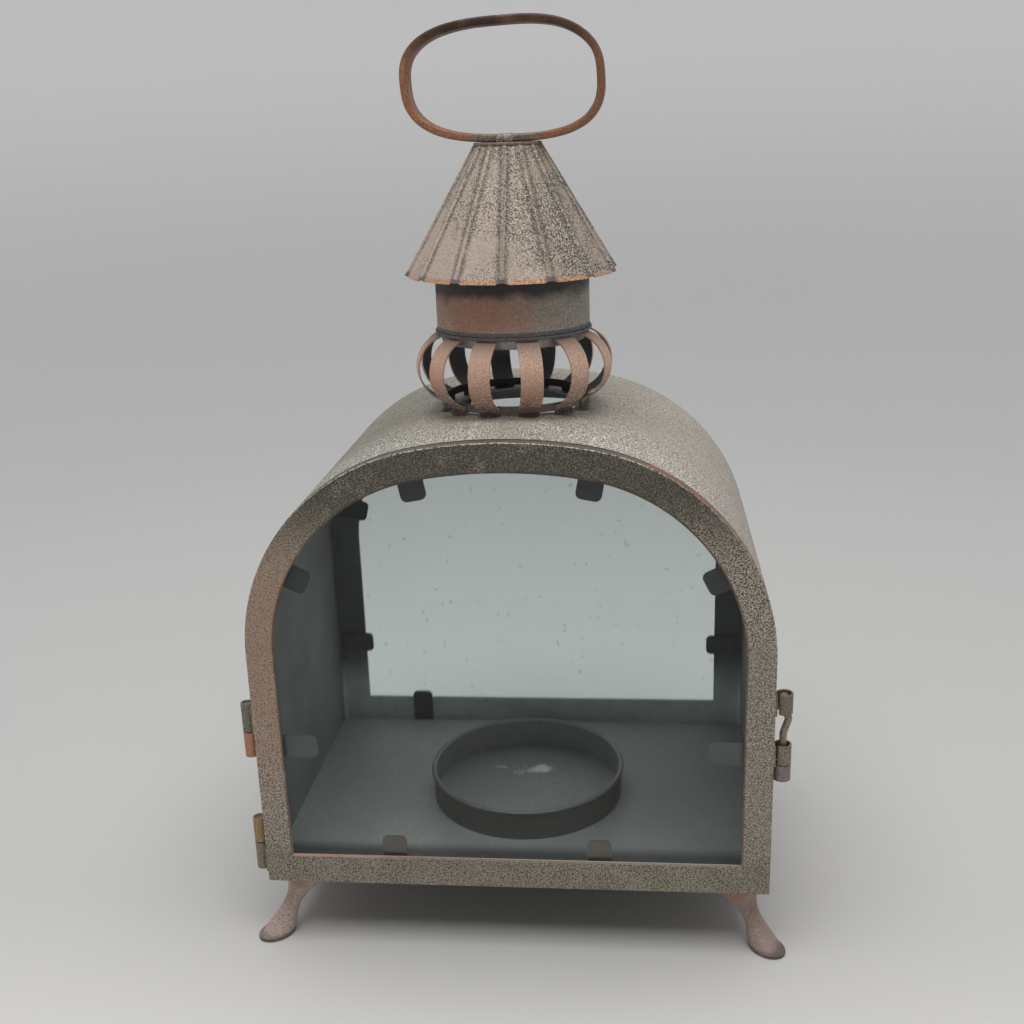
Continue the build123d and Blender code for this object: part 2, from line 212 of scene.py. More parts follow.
colour = n.mix(n.both(under_cage, 0.4), colour, (0.15, 0.145, 0.125))
# Painted shadow of the gap to the door along the shell's front edge, rust red on the right shoulder.
front_edge_shadow_and_rust = n.ramp(n.axis("Y"), -0.0796, -0.0808)
rust = n.both(n.ramp(n.axis("X"), 0.045, 0.075), n.ramp(n.axis("Z"), 0.17, 0.2), n.ramp(n.patch, 0.35, 0.5))
colour = n.mix(front_edge_shadow_and_rust, colour, n.mix(rust, (0.07, 0.066, 0.055), (0.3, 0.13, 0.085)))
dress(finish(n, charred(n, colour, SHELL_HEART)), "body_shell")

# Floor plate: a flat tray of the same sheet, let into the shell and soldered, charcoal on both sides, its underside
# painted near black as shade.
# It is darker to the right, and a painted shadow lies in a band just behind the door rail.
n, colour = weathered("floor_charcoal", (0.43, 0.425, 0.415), (0.5, 0.492, 0.478), (0.24, 0.237, 0.231),
                      (0.6, 0.61, 0.595), 5.0, grains=(0.15, 0.5))
right_side = n.ramp(n.axis("X"), -0.02, 0.08, 0.0, 0.55)
colour = n.mix(right_side, colour, (0.23, 0.228, 0.223))
# Painted shadow: a dark band on the floor just behind the door rail.
rail_shadow = n.ramp(n.axis("Y"), -0.055, -0.066, 0.0, 0.85)
colour = n.mix(rail_shadow, colour, (0.06, 0.06, 0.066))
# Painted shade: the underside is made near black so the floor under the lantern stays in deep shadow.
underside_shade = n.facing((0, 0, -1))
colour = n.mix(underside_shade, colour, (0.05, 0.05, 0.05))
dress(finish(n, colour, rough=(0.45, 0.6)), "floor_plate")

# Candle pan: a round pan spun from the same sheet and soldered to the middle of the floor.
# Its wall is darkened by painted shade, its rim carries a painted highlight, and a smear of old wax lies on the
# bottom.
PAN_RADIUS = 0.0535
PAN_RIM = 0.057
PAN_BOTTOM = 0.0408
WAX_CENTRE = (0.0, 0.02, 0)
n, colour = weathered("pan_sheet", (0.29, 0.295, 0.285), (0.34, 0.34, 0.33), (0.155, 0.155, 0.15),
                      (0.45, 0.46, 0.445), 7.0, grains=(0.15, 0.5))
# Painted shade: the pan's wall, inside and out, is made darker than its bottom.
wall = n.ramp(n.reach(), PAN_RADIUS - 0.0022, PAN_RADIUS - 0.0014)
colour = n.mix(n.both(wall, 0.9), colour, (0.115, 0.108, 0.096))
# Painted highlight: a pale line round the top of the rim.
rim = n.both(n.ramp(n.axis("Z"), PAN_RIM - 0.0013, PAN_RIM - 0.0007), n.ramp(n.patch, 0.35, 0.6, 0.55, 1.0))
colour = n.mix(n.both(rim, 0.5), colour, (0.34, 0.325, 0.3))
wander = n.math("MULTIPLY", n.noise(0.009, 4, 2.3, 0.75, (0.6, 1, 1)), 0.045)
smear = n.ramp(n.math("ADD", n.reach((0.36, 1, 0), WAX_CENTRE), wander), 0.0268, 0.0228)
bottom = n.ramp(n.axis("Z"), PAN_BOTTOM + 0.0017, PAN_BOTTOM + 0.0007)
colour = n.mix(n.both(smear, bottom), colour, (0.92, 0.92, 0.89))
dress(finish(n, colour, rough=(0.4, 0.55), metal=0.2), "candle_pan")

# Back frame: an arched flat face with a turned flange, cut from sheet and soldered inside the shell.
# It wears the same limewash outside and charcoal inside, dusty along the lower rail.
BACK_HEART = (0.0, 0.07, 0.12)
n, colour = weathered("back_limewash", (0.30, 0.27, 0.215), (0.38, 0.3, 0.25), (0.12, 0.113, 0.085),
                      (0.56, 0.52, 0.46), 13.0)
colour = charred(n, colour, BACK_HEART, (0.15, 0.155, 0.153))
dusty = n.both(n.inside(BACK_HEART), n.ramp(n.axis("Z"), 0.085, 0.056))
dust = n.mix(n.ramp(n.patch, 0.35, 0.6), (0.78, 0.785, 0.78), (0.93, 0.935, 0.93))
colour = n.mix(dusty, colour, dust)
dress(finish(n, colour), "back_frame")

# Panes: window glass 2 mm thick, clear with a faint grey-green cast, dusty, with a few fly specks.
# Each lies in its frame, a hair clear of it, and is held by the bent tabs; its rim is ground.
SIDE_FACE = 0.125
SHOULDER_OFFSET = 0.023
SPRING = 0.159
CROWN_RADIUS = 0.235
CROWN_DROP = sqrt((CROWN_RADIUS - SIDE_FACE + SHOULDER_OFFSET) ** 2 - SHOULDER_OFFSET ** 2)
SHOULDER_SWEEP = atan2(CROWN_DROP, SHOULDER_OFFSET)
PANE_CLEAR = 0.00006
PANE_BEVEL = 0.0004


def arch_outline(half, low):
    """Three-centred arch as a closed row of (x, z) points: the foot, the right shoulder's arc about a centre near
    the side, the crown's arc about a centre far below, and the left shoulder's arc."""
    bend = np.linspace(0, SHOULDER_SWEEP, 28)
    crown = np.linspace(SHOULDER_SWEEP, pi - SHOULDER_SWEEP, 14)[1:-1]
    shoulder_x = SHOULDER_OFFSET + (half - SHOULDER_OFFSET) * np.cos(bend)
    shoulder_z = SPRING + (half - SHOULDER_OFFSET) * np.sin(bend)
    rise = CROWN_RADIUS - SIDE_FACE + half
    x = np.concatenate([[-half, half], shoulder_x, rise * np.cos(crown), -shoulder_x[::-1]])
    z = np.concatenate([[low, low], shoulder_z, SPRING - CROWN_DROP + rise * np.sin(crown), shoulder_z[::-1]])
    return np.stack([x, z], 1)


def placed(name, mesh):
    """Drop the mesh's loose points, turn its faces outwards and put it in the scene."""
    work = bmesh.new()
    work.from_mesh(mesh)
    bmesh.ops.delete(work, geom=[v for v in work.verts if not v.link_faces], context="VERTS")
    bmesh.ops.recalc_face_normals(work, faces=work.faces)
    work.to_mesh(mesh)
    work.free()
    piece = bpy.data.objects.new(name, mesh)
    bpy.context.scene.collection.objects.link(piece)
    return piece


def cut_pane(name, node):
    """Pane of glass: the arch's outline repeated as four rings, the outer two drawn in by the bevel, joined by
    quads round the rim and closed by a flat face at the front and the back."""
    low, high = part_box(node)
    bevel = np.array([1, 0, 0, 1]) * PANE_BEVEL
    front, back = low.y + PANE_CLEAR, high.y - PANE_CLEAR
    depth = np.array([front, front + PANE_BEVEL, back - PANE_BEVEL, back])
    flat = np.stack([arch_outline(high.x - b, low.z + b) for b in bevel])
    grid = np.insert(flat, 1, depth[:, None], axis=2)
    sides = grid.shape[1]
    row, column = np.meshgrid(np.arange(3), np.arange(sides), indexing="ij")
    after = (column + 1) % sides
    quads = np.stack([row * sides + column, row * sides + after, (row + 1) * sides + after,
                      (row + 1) * sides + column], -1).reshape(-1, 4).tolist()
    mesh = bpy.data.meshes.new(name)
    flats = [list(range(sides)), list(range(3 * sides, 4 * sides))]
    mesh.from_pydata(grid.reshape(-1, 3).tolist(), [], quads + flats)
    return placed(name, mesh)


def pane_glass(name, seed, speck_low):
    """Clear glass with a faint film, its gloss broken by smears, with dust on it and fly specks above a height."""
    n = Nodes(name)
    dust = n.ramp(n.noise(0.0022, 1, seed + 5.0, 0.6), 0.7, 0.78)
    speck = n.both(n.ramp(n.noise(0.0034, 0, seed + 9.0, 0.5), 0.82, 0.84),
                   n.ramp(n.axis("Z"), speck_low, speck_low + 0.01))
    film = n.mix(n.ramp(n.axis("Z"), 0.12, 0.22), (0.61, 0.8, 0.755), (0.32, 0.43, 0.42))
    colour = n.mix(n.both(dust, 0.5), film, (0.3, 0.32, 0.31))
    n.feed(n.shader.inputs["Base Color"], n.mix(speck, colour, (0.02, 0.02, 0.018)))
    n.shader.inputs["Transmission Weight"].default_value = 1.0
    n.shader.inputs["IOR"].default_value = 1.01
    n.shader.inputs["Coat Weight"].default_value = 1.0
    n.shader.inputs["Coat Roughness"].default_value = 0.02
    n.shader.inputs["Alpha"].default_value = 0.25
    n.feed(n.shader.inputs["Roughness"], n.ramp(n.noise(0.05, 4, seed), 0.45, 0.8, 0.0, 0.05))
    return n.material


for node, body, seed, speck_low in (("door_glass", "door", 2.0, 0.138), ("back_glass", "lantern", 4.0, 0.04)):
    pane = cut_pane(f"{node}_pane", node)
    pane.data.materials.append(pane_glass(f"{node}_clear", seed, speck_low))
    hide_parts(node)
    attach(pane, body)

# Glass tabs: short strips of the same sheet, soldered inside the flanges and bent over the panes.
# They are charcoal, the door's lower tabs lightened by painted reflected light, and browned where they meet the lower
# rail.
n, colour = weathered("tab_charcoal", (0.04, 0.043, 0.047), (0.055, 0.057, 0.06), (0.025, 0.025, 0.025),
                      (0.12, 0.12, 0.117), 21.0, grains=(0.1, 0.4))
# Painted reflected light: the door's lower tabs are made lighter than the rest.
lower = n.both(n.ramp(n.axis("Z"), 0.175, 0.13), n.ramp(n.axis("Y"), 0.0, -0.05))
colour = n.mix(n.both(lower, 0.85), colour, (0.1, 0.101, 0.103))
colour = n.mix(n.both(n.ramp(n.axis("Z"), 0.078, 0.066), lower, 0.75), colour, (0.18, 0.135, 0.12))
dress(finish(n, colour, rough=(0.4, 0.55)), "door_glass_tabs", "back_glass_tabs")

# Feet: four cast cabriole feet on thin oval soles, soldered under the corners of the floor.
# The pink limewash carries painted shade round the soles and is rubbed dark on the toes.
n, colour = weathered("foot_limewash", (0.46, 0.33, 0.28), (0.5, 0.38, 0.33), (0.2, 0.14, 0.12),
                      (0.62, 0.52, 0.47), 25.0, grains=(0.2, 0.6))
# Painted shade: a dark line along the bottom of each foot, where it meets the floor.
sole_shade = n.ramp(n.axis("Z"), 0.0032, 0.0014)
colour = n.mix(n.both(sole_shade, 0.85), colour, (0.1, 0.075, 0.065))
toe = n.both(n.ramp(n.reach(), 0.152, 0.156), n.ramp(n.axis("X"), 0.0, 0.1), n.ramp(n.patch, 0.38, 0.55))
colour = n.mix(n.both(toe, 0.75), colour, (0.11, 0.11, 0.115))
colour = n.mix(n.ramp(n.axis("X"), 0.0, 0.1, 0.0, 0.35), colour, (0.2, 0.13, 0.105))
stain = n.both(n.ramp(n.axis("Z"), 0.019, 0.028), n.ramp(n.patch, 0.42, 0.6))
colour = n.mix(n.both(stain, 0.7), colour, (0.36, 0.17, 0.11))
dress(finish(n, colour), "front_left_foot", "front_right_foot", "back_left_foot", "back_right_foot")

# Vent rings: two rolled rings that carry the strips. The lower hangs just above the roof between the strips'
# feet, the upper sits inside the collar; both are dull grey, sooty towards the flame.
LOWER_RING_HEART = (0.0, 0.0, 0.265)
n, colour = weathered("lower_ring_sheet", (0.17, 0.135, 0.13), (0.13, 0.112, 0.112), (0.05, 0.045, 0.045),
                      (0.32, 0.27, 0.25), 27.0, grains=(0.15, 0.5))
dress(finish(n, charred(n, colour, LOWER_RING_HEART, (0.035, 0.033, 0.034))), "vent_lower_ring")
n, colour = weathered("upper_ring_sheet", (0.36, 0.31, 0.29), (0.42, 0.365, 0.34), (0.16, 0.135, 0.125),
                      (0.56, 0.5, 0.47), 28.0, grains=(0.1, 0.3))
dress(finish(n, colour, rough=(0.35, 0.48), metal=0.5), "vent_upper_ring")

# Vent strips: twelve straps bowed round the rings, soldered to them and to the roof, where they are trimmed.
# Outside they keep the salmon primer, greyer towards the top and brown towards the foot, with painted shade where the
# foot meets the roof; inside they are sooty.
STRIP_COUNT = 12
CAGE_HEART = (0.0, 0.0, 0.285)
STRIP_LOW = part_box("vent_strip_01")[0].z
STRIP_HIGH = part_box("vent_strip_01")[1].z
n, colour = weathered("strip_primer", (0.66, 0.37, 0.265), (0.68, 0.44, 0.335), (0.28, 0.15, 0.1),
                      (0.82, 0.63, 0.52), 29.0, grains=(0.15, 0.45))
colour = n.mix(n.ramp(n.axis("Z"), STRIP_LOW + 0.022, STRIP_LOW + 0.004, 0.0, 0.6), colour, (0.26, 0.165, 0.125))
low_third = n.both(n.ramp(n.axis("Z"), STRIP_LOW + 0.016, STRIP_LOW + 0.008), n.ramp(n.patch, 0.36, 0.5), 0.8)
colour = grained(n, colour, low_third, (0.13, 0.08, 0.06), (0.72, 0.62, 0.53))
# Painted shade where the strips' feet meet the roof.
colour = n.mix(n.ramp(n.axis("Z"), STRIP_LOW + 0.0035, STRIP_LOW + 0.0015, 0.0, 0.8), colour, (0.06, 0.045, 0.04))
colour = n.mix(n.ramp(n.axis("Z"), STRIP_HIGH - 0.014, STRIP_HIGH - 0.004, 0.0, 0.5), colour, (0.33, 0.25, 0.215))
strips = [f"vent_strip_{i:02d}" for i in range(1, STRIP_COUNT + 1)]
dress(finish(n, charred(n, colour, CAGE_HEART, (0.105, 0.106, 0.108))), *strips)

# Collar: a band of sheet rolled into a short pipe over the tops of the strips, with a bead at its lower edge.
# It keeps the salmon primer, with painted shade and soot under the cap and a grey bloom on its right.
COLLAR_HEART = (0.0, 0.0, 0.325)
COLLAR_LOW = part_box("collar")[0].z
CAP_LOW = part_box("cap_cone")[0].z
n, colour = weathered("collar_primer", (0.4, 0.21, 0.145), (0.44, 0.275, 0.205), (0.17, 0.11, 0.09),
                      (0.58, 0.46, 0.4), 33.0, grains=(0.25, 0.6))
bloom = n.ramp(n.math("ADD", n.axis("X"), n.math("MULTIPLY", n.patch, 0.05)), 0.014, 0.052)
grey_grain = n.mix(n.ramp(n.fine, 0.4, 0.6), (0.25, 0.24, 0.205), (0.44, 0.42, 0.375))
colour = n.mix(n.both(bloom, 0.85), colour, grey_grain)
# Painted shade and soot: near black under the cap's eave, drifting down the collar's top.
drift = n.math("ADD", n.axis("Z"), n.math("MULTIPLY", n.math("ADD", n.patch, n.cloud), 0.009))
colour = n.mix(n.ramp(drift, CAP_LOW - 0.0035, CAP_LOW + 0.0035, 0.0, 0.97), colour, (0.045, 0.041, 0.04))
band = n.ramp(n.axis("Z"), COLLAR_LOW + 0.0042, COLLAR_LOW + 0.0034)
bead_grain = n.mix(n.ramp(n.fine, 0.4, 0.65), (0.08, 0.08, 0.086), (0.18, 0.178, 0.182))
colour = n.mix(n.both(band, 0.92), colour, bead_grain)
dress(finish(n, charred(n, colour, COLLAR_HEART, (0.03, 0.03, 0.03))), "collar")

# Cap: a cone of sheet with fourteen standing crimps, its rim drawn up a little at each, closed by a small disc.
# The wash has broken to grains along the crimps, with painted shadows beside each ridge and painted shade where each
# crimp ends at the rim; the rim is rubbed to copper brown.
CRIMPS = 14
CRIMP_TURN = 0.4 / 360
CAP_HEART = (0.0, 0.0, 0.3)
CAP_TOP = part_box("cap_cone")[1].z
n, colour = weathered("cone_limewash", (0.4, 0.325, 0.26), (0.44, 0.34, 0.28), (0.07, 0.062, 0.045),
                      (0.63, 0.575, 0.5), 37.0, grains=(0.2, 0.9))
rosy = n.both(n.ramp(n.axis("X"), 0.012, -0.03), n.ramp(n.age, 0.58, 0.46), n.ramp(n.fine, 0.38, 0.46))
colour = n.mix(n.both(rosy, 0.7), colour, (0.58, 0.455, 0.395))
shade = n.both(n.ramp(n.axis("X"), -0.004, 0.03), n.ramp(n.patch, 0.36, 0.56), n.ramp(n.fine, 0.55, 0.46))
colour = n.mix(n.both(shade, 0.92), colour, (0.07, 0.064, 0.045))
turn = n.math("ARCTAN2", n.axis("X"), n.math("MULTIPLY", n.axis("Y"), -1.0))
panel = n.math("FRACT", n.math("ADD", n.math("MULTIPLY", turn, CRIMPS / (2 * pi)), CRIMPS * (1 - CRIMP_TURN) + 0.5))
arc = n.both(n.math("ABSOLUTE", n.math("SUBTRACT", panel, 0.5)), n.reach(), 2 * pi / CRIMPS)
# Painted shadows either side of each crimp's ridge, broken by dark grains.
crimp_shadow_and_grain = n.both(n.ramp(arc, 0.0008, 0.0013), n.ramp(arc, 0.004, 0.0016), n.ramp(n.fine, 0.58, 0.46, 0.4, 1.0))
colour = n.mix(n.both(crimp_shadow_and_grain, n.ramp(n.patch, 0.3, 0.5, 0.6, 1.0), 0.95), colour, (0.085, 0.08, 0.06))
ragged = n.math("ADD", n.axis("Z"), n.math("MULTIPLY", n.patch, 0.003))
rim = n.ramp(ragged, CAP_LOW + 0.0043, CAP_LOW + 0.0029)
copper = n.mix(n.ramp(n.fine, 0.4, 0.6), (0.38, 0.17, 0.09), (0.62, 0.4, 0.26))
colour = n.mix(n.both(rim, 0.9), colour, copper)
# Painted shade in the dents at the rim where each crimp ends.
crimp_dent_shade = n.both(n.ramp(ragged, CAP_LOW + 0.0046, CAP_LOW + 0.0032), n.ramp(arc, 0.0034, 0.0022))
colour = n.mix(n.both(crimp_dent_shade, 0.85), colour, (0.1, 0.1, 0.108))
colour = n.mix(n.ramp(n.axis("Z"), CAP_TOP - 0.0008, CAP_TOP - 0.0002, 0.0, 0.75), colour, (0.2, 0.13, 0.09))
dress(finish(n, charred(n, colour, CAP_HEART, (0.035, 0.035, 0.035)), depth=0.00018), "cap_cone", "cap_disc")

# Strip solder: a small bead at the foot of each strip, run in to hold it to the roof.
# The tin-lead is dull grey, dark with flux and left lumpy.
STRIP_PHASE = radians(15.1)
STRIP_FOOT_RADIUS = 0.0371
ROOF_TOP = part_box("body_shell")[1].z
FOOT_BEAD = (0.0038, 0.0009, 0.0008)


def solder_beads(name, centres, turns, radii, seed, rows=14, columns=24):
    """Lumpy beads: on each, a unit sphere over latitude and longitude is swollen by three waves with seeded
    phases, stretched to the bead's radii, turned about Z and moved to its centre. Poles are single points."""
    phase = np.random.default_rng(seed).uniform(0, 2 * pi, (len(centres), 3, 1, 1))
    latitude = np.linspace(-pi / 2, pi / 2, rows + 1)[None, :, None]
    longitude = np.linspace(0, 2 * pi, columns, endpoint=False)[None, None, :]
    swell = 1 + np.cos(latitude) * (0.12 * np.sin(2 * longitude + phase[:, 0])
                                    + 0.09 * np.sin(3 * longitude + 2 * latitude + phase[:, 1])
                                    + 0.06 * np.sin(5 * longitude - 3 * latitude + phase[:, 2]))
    x = radii[0] * swell * np.cos(latitude) * np.cos(longitude)
    y = radii[1] * swell * np.cos(latitude) * np.sin(longitude)
    z = radii[2] * swell * np.sin(latitude)
    turn = np.asarray(turns, float)[:, None, None]
    grid = np.stack([x * np.cos(turn) - y * np.sin(turn), x * np.sin(turn) + y * np.cos(turn), z], -1)
    grid += np.asarray(centres, float)[:, None, None]
    mesh = bpy.data.meshes.new(name)
    ring = np.arange(columns)
    after = (ring + 1) % columns
    row = np.arange(1, rows - 1)[:, None] * columns
    quads = np.stack([row + ring, row + after, row + columns + after, row + columns + ring], -1).reshape(-1, 4)
    last = (rows - 1) * columns
    fan = np.stack([np.full(columns, rows * columns), columns + after, columns + ring], -1)
    crown = np.stack([np.full(columns, rows * columns + 1), last + ring, last + after], -1)
    count = rows * columns + 2
    points = np.concatenate([grid[:, :rows].reshape(len(centres), -1, 3), grid[:, 0, :1], grid[:, rows, :1]], 1)
    faces = []
    for bead in range(len(centres)):
        faces += (quads + bead * count).tolist() + (fan + bead * count).tolist() + (crown + bead * count).tolist()
    mesh.from_pydata(points.reshape(-1, 3).tolist(), [], faces)
    mesh.shade_smooth()
    return placed(name, mesh)


foot_turns = STRIP_PHASE + 2 * pi * np.arange(STRIP_COUNT) / STRIP_COUNT
foot_x = STRIP_FOOT_RADIUS * np.sin(foot_turns)
foot_z = ROOF_TOP - CROWN_RADIUS + np.sqrt(CROWN_RADIUS ** 2 - foot_x ** 2) + FOOT_BEAD[2] / 2
foot_places = np.stack([foot_x, -STRIP_FOOT_RADIUS * np.cos(foot_turns), foot_z], 1)
strip_solder = solder_beads("strip_solder", foot_places, foot_turns, FOOT_BEAD, 3)
n, colour = weathered("flux_solder", (0.1, 0.09, 0.083), (0.14, 0.13, 0.12), (0.04, 0.037, 0.035),
                      (0.5, 0.47, 0.43), 44.0, grains=(0.3, 0.7))
strip_solder.data.materials.append(finish(n, colour, rough=(0.4, 0.6), metal=0.3, depth=0.0003))
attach(strip_solder, "lantern")

# Carry handle: a closed loop of strap, bent by hand so that it leans a little, and soldered to the disc.
# It is rubbed to copper brown at its ends, near black with painted shade along the top and limewashed where it is
# soldered.
STRAP_THICKNESS = 0.0038
STRAP_EDGE = 0.0012
loop_low, loop_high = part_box("carry_handle")
STRAP_WIDTH = loop_high.y - loop_low.y
LOOP_HALF_WIDTH = (loop_high.x - loop_low.x - STRAP_THICKNESS) / 2
LOOP_HALF_HEIGHT = (loop_high.z - loop_low.z - STRAP_THICKNESS) / 2
LOOP_MIDDLE = (loop_high.z + loop_low.z) / 2
LOOP_LEAN = -0.055
LOOP_TILT = 0.035
LOOP_POWER = 2 / 2.8
LOOP_WAVER = 0.0003
LOOP_SAG = 0.0004


def rounded_section(thickness, width, radius, corner=5):
    """Rectangle with rounded corners as a closed row of points: quarter circles about its four corners."""
    quarter = np.linspace(0, pi / 2, corner)
    angle = (np.arange(4)[:, None] * pi / 2 + quarter).ravel()
    centre_a = np.repeat([1, -1, -1, 1], corner) * (thickness / 2 - radius)
    centre_b = np.repeat([1, 1, -1, -1], corner) * (width / 2 - radius)
    return np.stack([centre_a + radius * np.cos(angle), centre_b + radius * np.sin(angle)], 1)


def carried(name, path, across, along, section, closed):
    """Profile carried along a path: at each point of the path the section's pairs (a, b) are laid off a times
    the across direction and b times the along direction. An open run is capped at both ends."""
    grid = path[:, None] + section[..., :1] * across[:, None] + section[..., 1:] * along
    runs, sides = grid.shape[:2]
    row, column = np.meshgrid(np.arange(runs if closed else runs - 1), np.arange(sides), indexing="ij")
    ahead = (row + 1) % runs
    after = (column + 1) % sides
    quads = np.stack([row * sides + column, row * sides + after, ahead * sides + after, ahead * sides + column], -1)
    faces = quads.reshape(-1, 4).tolist()
    if not closed:
        faces += [list(range(sides)), list(range((runs - 1) * sides, runs * sides))]
    mesh = bpy.data.meshes.new(name)
    mesh.from_pydata(grid.reshape(-1, 3).tolist(), [], faces)
    mesh.shade_smooth()
    mesh.set_sharp_from_angle(angle=radians(50))
    return placed(name, mesh)


def bent_loop(count=192):
    """Closed hand-bent loop in XZ: a superellipse sheared to one side with height, its top tilted and then drawn
    back to the loop's height, wavering by a fraction of a millimetre, and read at even steps of its length."""
    angle = np.linspace(0, 2 * pi, 4 * count, endpoint=False) - pi / 2
    x = LOOP_HALF_WIDTH * np.sign(np.cos(angle)) * np.abs(np.cos(angle)) ** LOOP_POWER
    z = LOOP_HALF_HEIGHT * np.sign(np.sin(angle)) * np.abs(np.sin(angle)) ** LOOP_POWER
    rise = (z + LOOP_HALF_HEIGHT) / (2 * LOOP_HALF_HEIGHT)
    z = z + LOOP_TILT * rise * x
    z = np.where(z > 0, z * LOOP_HALF_HEIGHT / z.max(), z)
    x = x + LOOP_LEAN * (z + LOOP_HALF_HEIGHT) + LOOP_WAVER * rise * np.sin(5 * angle + 1)
    z = z + LOOP_MIDDLE - LOOP_SAG * rise * (1 + np.sin(3 * angle + 0.6))
    length = np.concatenate([[0], np.cumsum(np.hypot(np.diff(x, append=x[0]), np.diff(z, append=z[0])))])
    step = np.linspace(0, length[-1], count, endpoint=False)
    return np.stack([np.interp(step, length, np.append(x, x[0])), np.zeros(count),
                     np.interp(step, length, np.append(z, z[0]))], 1)


loop = bent_loop()
heading = np.roll(loop, -1, 0) - np.roll(loop, 1, 0)
heading /= np.linalg.norm(heading, axis=1, keepdims=True)
outward = np.stack([heading[:, 2], heading[:, 1], -heading[:, 0]], 1)
handle = carried("handle_strap", loop, outward, np.array([0.0, 1.0, 0.0]),
                 rounded_section(STRAP_THICKNESS, STRAP_WIDTH, STRAP_EDGE)[None], closed=True)
n, colour = weathered("strap_rust", (0.33, 0.125, 0.06), (0.37, 0.165, 0.09), (0.08, 0.045, 0.03),
                      (0.52, 0.31, 0.19), 41.0, grains=(0.25, 0.6))
# Painted shade: the top of the loop is made near black.
top = n.both(n.ramp(n.axis("Z"), LOOP_MIDDLE + 0.005, LOOP_MIDDLE + 0.023), n.ramp(n.patch, 0.3, 0.55, 0.6, 1.0))
colour = n.mix(n.both(top, 0.93), colour, (0.026, 0.018, 0.012))
right_end = n.ramp(n.axis("X"), 0.0, 0.045)
colour = n.mix(n.both(right_end, 0.45), colour, (0.15, 0.08, 0.048))
base = n.both(n.ramp(n.axis("Z"), loop_low.z + 0.0065, loop_low.z + 0.0045),
              n.ramp(n.math("ABSOLUTE", n.axis("X")), 0.0185, 0.0145))
grey_base = n.mix(n.ramp(n.fine, 0.4, 0.62), (0.13, 0.1, 0.078), (0.34, 0.29, 0.235))
colour = n.mix(n.both(base, 0.85), colour, grey_base)
handle.data.materials.append(finish(n, colour, rough=(0.46, 0.65), metal=0.25))
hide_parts("carry_handle")
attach(handle, "lantern")

# Handle solder: a lumpy bead at the front and the back of the strap, run over its edge on to the disc.
# It is washed over with the limewash of the cap.
HANDLE_BEAD = (0.0039, 0.0022, 0.0025)
BEAD_OFFSET = STRAP_WIDTH / 2
BEAD_HEIGHT = loop_low.z + 0.0016
bead_places = [(-0.0005, -BEAD_OFFSET, BEAD_HEIGHT), (0.0005, BEAD_OFFSET, BEAD_HEIGHT)]
handle_solder = solder_beads("handle_solder_beads", bead_places, [0.1, 0.2], HANDLE_BEAD, 8)
n, colour = weathered("solder_lump", (0.24, 0.21, 0.175), (0.32, 0.29, 0.245), (0.07, 0.06, 0.048),
                      (0.62, 0.58, 0.51), 43.0, grains=(0.5, 0.9))
handle_solder.data.materials.append(finish(n, colour, rough=(0.4, 0.6), metal=0.2, depth=0.0003))
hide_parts("handle_solder")
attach(handle_solder, "lantern")

# Hinge knuckles, latch guides and keeper: short barrels rolled from strip, their straps soldered to the door's
# flange or the body's side. Each left its own batch of wash: salmon, ochre, olive grey or rose.
STRAP_SHEET = 0.0008
AXIS_Y = -0.082
DOOR_STRAP_START = -0.0869
BODY_STRAP_START = -0.0622
HINGE_X, HINGE_BORE, HINGE_WALL = -0.1286, 0.00208, 0.00116
LATCH_X, LATCH_BORE, LATCH_WALL = 0.1294, 0.00312, 0.00095
ROLL_SWEEP = 5.45
ROLL_EASE = 1.4
STRAP_STEPS = 12


def rolled_barrel(name, node, axis_x, bore, wall, on_door):
    """Strip rolled on a vertical axis: its middle line runs straight along the strap to the point beside the
    axis, then round a circle that tightens from the strap's distance to the barrel's middle radius. The strip's
    rounded cross section is carried along that line, thickens from the sheet to the barrel's wall, and its width
    wavers by a few hundredths as hand-cut edges do."""
    low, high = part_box(node)
    side = np.sign(axis_x)
    strap_x = side * (SIDE_FACE + STRAP_SHEET / 2)
    middle = bore + wall / 2
    start = DOOR_STRAP_START if on_door else BODY_STRAP_START
    straight = np.linspace(start, AXIS_Y, STRAP_STEPS, endpoint=False)
    sweep = np.linspace(0, ROLL_SWEEP, 60)
    ease = np.clip(sweep / ROLL_EASE, 0, 1)
    radius = middle + (abs(strap_x - axis_x) - middle) * (1 - ease * ease * (3 - 2 * ease))
    turn = (pi if side > 0 else 0.0) + sweep * side * (-1 if on_door else 1)
    x = np.concatenate([np.full(STRAP_STEPS, strap_x), axis_x + radius * np.cos(turn)])
    y = np.concatenate([straight, AXIS_Y + radius * np.sin(turn)])
    path = np.stack([x, y, np.full(len(x), (low.z + high.z) / 2)], 1)
    heading = np.gradient(path, axis=0)
    heading /= np.linalg.norm(heading, axis=1, keepdims=True)
    across = np.stack([heading[:, 1], -heading[:, 0], heading[:, 2]], 1)
    section = np.repeat(rounded_section(wall, high.z - low.z, 0.28 * wall)[None], len(x), 0)
    thin = STRAP_SHEET / wall
    section[..., 0] *= np.concatenate([np.full(STRAP_STEPS, thin), 1 + (thin - 1) * (1 - ease)])[:, None]
    section[..., 1] *= 1 - 0.012 * (1 + np.sin(np.linspace(0, 7, len(x))))[:, None]
    return carried(name, path, across, np.array([0.0, 0.0, 1.0]), section, closed=False)


